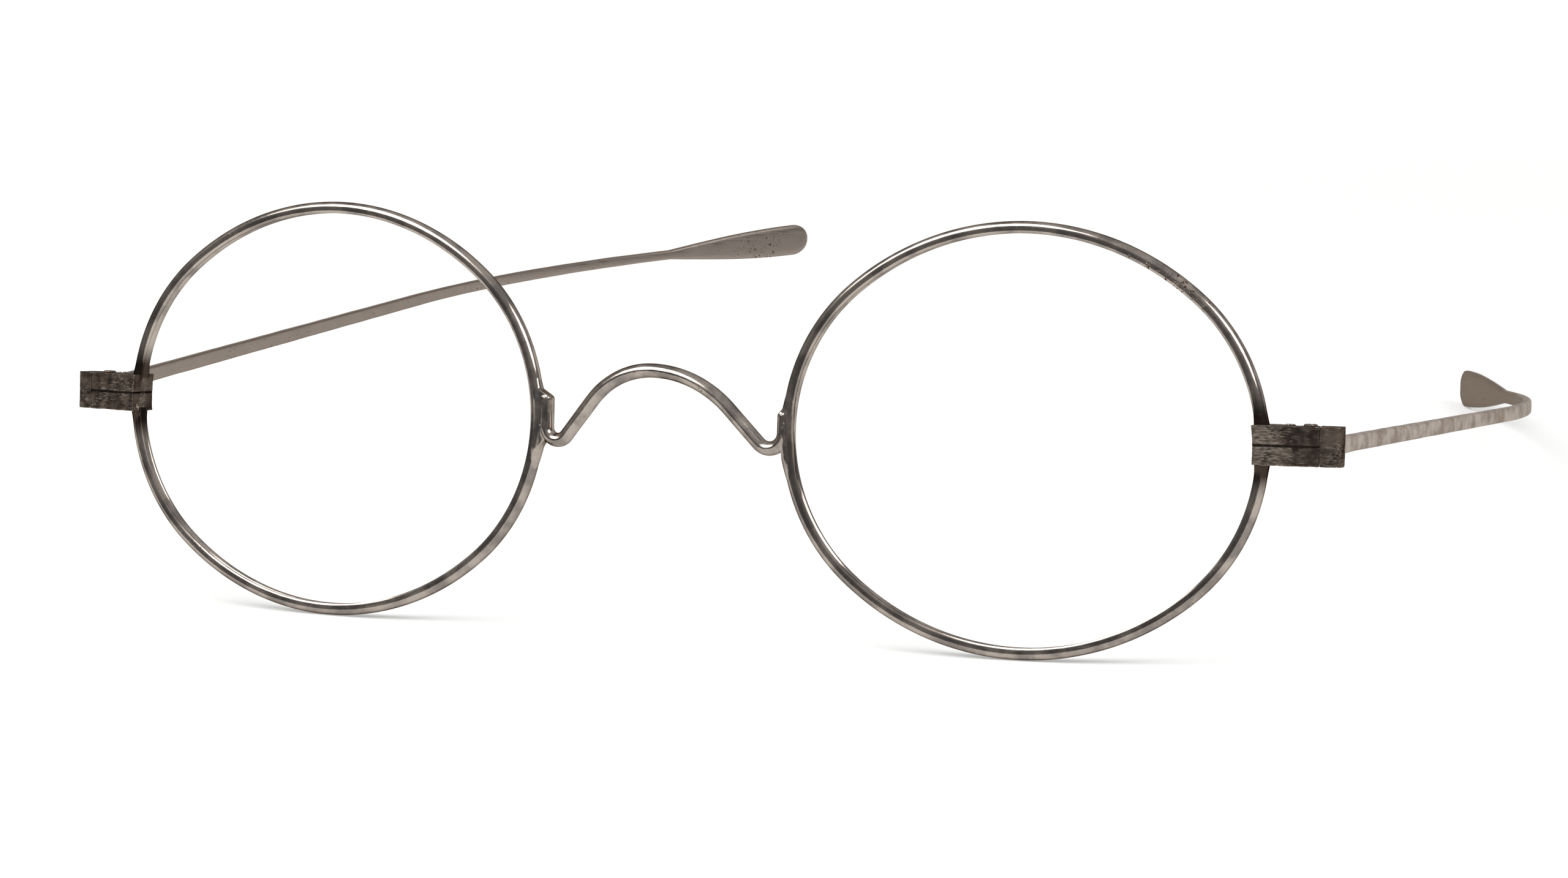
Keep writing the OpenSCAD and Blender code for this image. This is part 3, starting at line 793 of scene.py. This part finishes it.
class SPECTACLES_OT_temples(bpy.types.Operator):
    """Draws out each temple's bar, bends it, flattens its pad, and files its butt"""
    bl_idname = "spectacles.temples"
    bl_label = "Temples"

    # The section's corners: 1 is round, and nearer to 0 is squarer
    corners = 0.42
    # The root's flare where braze joins it to the butt: its height and its length
    flare, flare_reach = 0.2, 4
    # The least share of its height, squared, that the pad keeps at its rounded end
    end_keep = 0.06
    # The share by which the pad's very edge is thinner, and over what length
    edge, edge_reach = 0.5, 0.35

    def execute(self, context):
        sizes = context.scene.spectacle_temples
        for side in SIDES:
            self.bar(sizes, side)
            name = f"temple_butt_{side}"
            butt = worked_copy(name, voxel=0.05, smooth=3, clouds=0.8, depth=0.05)
            finish_piece(butt, f"temple_block_{side}", Matrix.Identity(4), f"temple_{side}",
                         stained_block_steel, [name])
        return {"FINISHED"}

    def rounded(self, turn):
        """A section one high and one thick with tight corners, to be scaled along the bar."""
        return [math.copysign(abs(c) ** self.corners, c) * 0.5
                for c in (math.cos(turn), math.sin(turn))]

    def bar(self, sizes, side):
        """One bar, drawn back along Y, bent, and then given its height and thickness."""
        index = SIDES.index(side)
        straight, bend = sizes.straight[index], sizes.bend[index]
        made = ring(32, self.rounded)
        # The ring stands upright across the bar
        made.data.transform(Matrix.Translation((0, -sizes.sunk, 0))
                            @ Matrix.Rotation(math.radians(90), 4, "X"))
        edit(made)
        extrude((0, straight + sizes.sunk, 0), steps=90)
        bpy.ops.mesh.spin(steps=60, angle=bend, center=(-sizes.bend_r, straight, 0),
                          axis=(0, 0, -1), use_auto_merge=False)
        ahead = Vector((-math.sin(bend), math.cos(bend), 0))
        extrude(ahead * (sizes.pad - sizes.tip), steps=44)
        extrude(ahead * sizes.tip, steps=16)
        close_solid()
        lie = self.lie(sizes, index)
        for vertex in made.data.vertices:
            along, across, turn = lie(vertex.co)
            shift = across * (self.thickness(sizes, index, along) - 1)
            vertex.co.x += shift * math.cos(turn)
            vertex.co.y += shift * math.sin(turn)
            vertex.co.z *= self.height(sizes, index, along)
            vertex.co.z += vertex.co.y * math.tan(sizes.rise[index])
        roughen(made, size=3.0, depth=0.04)
        set_run(made, lambda co: (*lie(co)[:2], co.z))
        root = Matrix.Translation(Vector((sizes.root_x, sizes.root_y, sizes.root_z)) * MM)
        finish_piece(made, f"temple_bar_{side}", eye_matrix(side) @ root, f"temple_{side}",
                     dull_bar_steel, [f"temple_{side}"])

    def lie(self, sizes, index):
        """Rule from a point to its length along the bar, its place across, and the bend there."""
        straight, bend = sizes.straight[index], sizes.bend[index]

        def rule(co):
            if co.y <= straight:
                return co.y, co.x, 0.0
            from_c = Vector((co.x + sizes.bend_r, co.y - straight))
            turn = min(bend, math.atan2(from_c.y, from_c.x))
            out = Vector((math.cos(turn), math.sin(turn)))
            ahead = Vector((-math.sin(turn), math.cos(turn)))
            beyond = max(0.0, from_c.dot(ahead))
            return straight + sizes.bend_r * turn + beyond, from_c.dot(out) - sizes.bend_r, turn

        return rule

    def pad_start(self, sizes, index):
        """Length along the bar to where its pad begins."""
        return sizes.straight[index] + sizes.bend_r * sizes.bend[index]

    def height(self, sizes, index, along):
        """Height of the bar: a slow taper, a flare at the root, then the pad's fan and round tip."""
        pad_start = self.pad_start(sizes, index)
        neck = sizes.neck_h[index]
        if along <= pad_start:
            flare = self.flare * max(0.0, 1 - along / self.flare_reach) ** 2
            return sizes.root_h + (neck - sizes.root_h) * along / pad_start + flare
        fan = math.sin(math.pi / 2 * min(1.0, (along - pad_start) / (sizes.pad - sizes.tip)))
        over = max(0.0, along - pad_start - sizes.pad + sizes.tip) / sizes.tip
        wide = neck + (sizes.pad_h[index] - neck) * fan
        return wide * math.sqrt(max(self.end_keep, 1 - over * over))

    def thickness(self, sizes, index, along):
        """Thickness of the bar: a slow taper, and a thinner edge at the very tip."""
        pad_start = self.pad_start(sizes, index)
        to_end = pad_start + sizes.pad - along
        thin = 1 - self.edge * max(0.0, 1 - to_end / self.edge_reach) ** 2
        taper = min(1.0, along / pad_start)
        return (sizes.root_t + (sizes.neck_t - sizes.root_t) * taper) * thin


class SPECTACLES_OT_stage(bpy.types.Operator):
    """Sets the pale floor, the soft lights and the camera"""
    bl_idname = "spectacles.stage"
    bl_label = "Stage"

    def execute(self, context):
        self.floor()
        self.world(context.scene)
        self.lights()
        self.camera(context.scene)
        context.scene.view_settings.view_transform = "Standard"
        return {"FINISHED"}

    def seen(self, tree):
        """One for the rays that look at the stage straight, by a reflection or through glass."""
        ray = node(tree, "ShaderNodeLightPath").outputs
        looks = node(tree, "ShaderNodeMath", {
            0: ray["Is Camera Ray"], 1: ray["Is Glossy Ray"]}, operation="MAXIMUM")
        return node(tree, "ShaderNodeMath", {
            0: looks, 1: ray["Is Transmission Ray"]}, operation="MAXIMUM")

    def floor(self):
        """A sheet of pale paper, lifted to white where it is looked at, that keeps its shadows."""
        bpy.ops.mesh.primitive_plane_add(size=1.8, location=(0, 0, 0))
        floor = bpy.context.object
        floor.name = "floor"
        paper = bpy.data.materials.new("pale paper")
        paper.use_nodes = True
        tree = paper.node_tree
        tree.nodes.clear()
        matt = node(tree, "ShaderNodeBsdfDiffuse", {"Color": linear("#c4c4c2")})
        place = node(tree, "ShaderNodeTexCoord").outputs["Object"]
        away = node(tree, "ShaderNodeVectorMath", {0: place}, operation="LENGTH")
        # The lift is stronger away from the lamps
        lift = node(tree, "ShaderNodeMapRange", {
            "Value": away, "From Min": 0.1, "From Max": 0.5,
            "To Min": 0.32, "To Max": 0.62}, **SOFT)
        shown = node(tree, "ShaderNodeMath", {0: self.seen(tree), 1: lift}, operation="MULTIPLY")
        glow = node(tree, "ShaderNodeEmission", {"Color": linear("#ffffff"), "Strength": shown})
        lit = node(tree, "ShaderNodeAddShader", {0: matt, 1: glow})
        node(tree, "ShaderNodeOutputMaterial", {"Surface": lit})
        floor.data.materials.append(paper)

    def world(self, scene):
        """A white backdrop behind the object, and a room that is dimmer towards its foot."""
        world = bpy.data.worlds.new("pale backdrop and room")
        world.use_nodes = True
        scene.world = world
        tree = world.node_tree
        tree.nodes.clear()
        way = node(tree, "ShaderNodeSeparateXYZ", {
            "Vector": node(tree, "ShaderNodeTexCoord").outputs["Generated"]}).outputs
        room = node(tree, "ShaderNodeMapRange", {
            "Value": way["Z"], "From Min": -0.1, "From Max": 0.9,
            "To Min": 0.14, "To Max": 0.65}, **SOFT)
        behind = node(tree, "ShaderNodeMapRange", {
            "Value": way["Y"], "From Min": 0.3, "From Max": 0.6}, **SOFT)
        low = node(tree, "ShaderNodeMapRange", {
            "Value": way["Z"], "From Min": 0.42, "From Max": 0.3}, **SOFT)
        backdrop = node(tree, "ShaderNodeMath", {0: behind, 1: low}, operation="MULTIPLY")
        shown = node(tree, "ShaderNodeMath", {
            0: self.seen(tree), 1: backdrop}, operation="MULTIPLY")
        around = node(tree, "ShaderNodeMath", {0: room, 1: shown}, operation="MAXIMUM")
        # The camera itself sees white all round
        camera_ray = node(tree, "ShaderNodeLightPath").outputs["Is Camera Ray"]
        strength = node(tree, "ShaderNodeMath", {0: around, 1: camera_ray}, operation="MAXIMUM")
        sky = node(tree, "ShaderNodeBackground", {
            "Color": linear("#ffffff"), "Strength": strength})
        node(tree, "ShaderNodeOutputWorld", {"Surface": sky})

    def lights(self):
        """One wide soft window overhead to the left, and a small one at the right."""
        aim = Vector((0, -0.04, 0.015))
        distance = 0.7
        for name, towards, size, power in (
                ("window", (-0.42, -0.42, 0.8), 0.6, 5.0),
                ("small window", (0.72, -0.2, 0.62), 0.42, 2.2)):
            place = aim + Vector(towards).normalized() * distance
            bpy.ops.object.light_add(type="AREA", location=place)
            lamp = bpy.context.object
            lamp.name = name
            lamp.data.shape = "DISK"
            lamp.data.size = size
            lamp.data.energy = power
            lamp.rotation_euler = (aim - place).to_track_quat("-Z", "Y").to_euler()

    def camera(self, scene):
        """Stands the camera where the photograph was taken from, told in the front's own frame."""
        place = Vector((187.77, -386.23, 22.76)) * MM
        yaw, pitch, roll = 0.4287, 0.0552, 0.0228
        focal_px, width_px, sensor_mm = 8400.0, 2560.0, 36.0
        ahead = Vector((-math.sin(yaw) * math.cos(pitch),
                        math.cos(yaw) * math.cos(pitch),
                        -math.sin(pitch)))
        level = Vector((math.cos(yaw), math.sin(yaw), 0))
        upright = level.cross(ahead)
        right = level * math.cos(roll) + upright * math.sin(roll)
        up = upright * math.cos(roll) - level * math.sin(roll)
        turn = Matrix((right, up, -ahead)).transposed().to_4x4()
        data = bpy.data.cameras.new("camera")
        data.sensor_width = sensor_mm
        data.sensor_fit = "HORIZONTAL"
        data.lens = sensor_mm * focal_px / width_px
        data.clip_start = 0.01
        camera = bpy.data.objects.new("camera", data)
        scene.collection.objects.link(camera)
        camera.matrix_world = (
            front_matrix(scene.spectacle_rims) @ Matrix.Translation(place) @ turn)
        scene.camera = camera


class SPECTACLES_PT_panel(bpy.types.Panel):
    """Lists the steps in the order they are made, and under them the sizes and colours"""
    bl_idname = "SPECTACLES_PT_panel"
    bl_label = "Spectacles"
    bl_space_type = "VIEW_3D"
    bl_region_type = "UI"
    bl_category = "Spectacles"

    def draw(self, context):
        for step in STEPS:
            self.layout.operator(step.bl_idname)
        for group, sizes in GROUPS.items():
            for name in sizes.__annotations__:
                self.layout.prop(getattr(context.scene, group), name)


# The operators in the order they are run, and the groups of values by their name in the scene
STEPS = (SPECTACLES_OT_rims, SPECTACLES_OT_bridge, SPECTACLES_OT_end_pieces,
         SPECTACLES_OT_screws, SPECTACLES_OT_temples, SPECTACLES_OT_stage)
GROUPS = {"spectacle_rims": RimSizes, "spectacle_bridge": BridgeSizes,
          "spectacle_temples": TempleSizes, "spectacle_colours": SteelColours}


def register():
    for group, sizes in GROUPS.items():
        bpy.utils.register_class(sizes)
        setattr(bpy.types.Scene, group, bpy.props.PointerProperty(type=sizes))
    for step in STEPS:
        bpy.utils.register_class(step)
    bpy.utils.register_class(SPECTACLES_PT_panel)


def unregister():
    bpy.utils.unregister_class(SPECTACLES_PT_panel)
    for step in STEPS:
        bpy.utils.unregister_class(step)
    for group, sizes in GROUPS.items():
        delattr(bpy.types.Scene, group)
        bpy.utils.unregister_class(sizes)


def main():
    register()
    bpy.ops.spectacles.rims()
    bpy.ops.spectacles.bridge()
    bpy.ops.spectacles.end_pieces()
    bpy.ops.spectacles.screws()
    bpy.ops.spectacles.temples()
    bpy.ops.spectacles.stage()


if __name__ == "__main__":
    main()
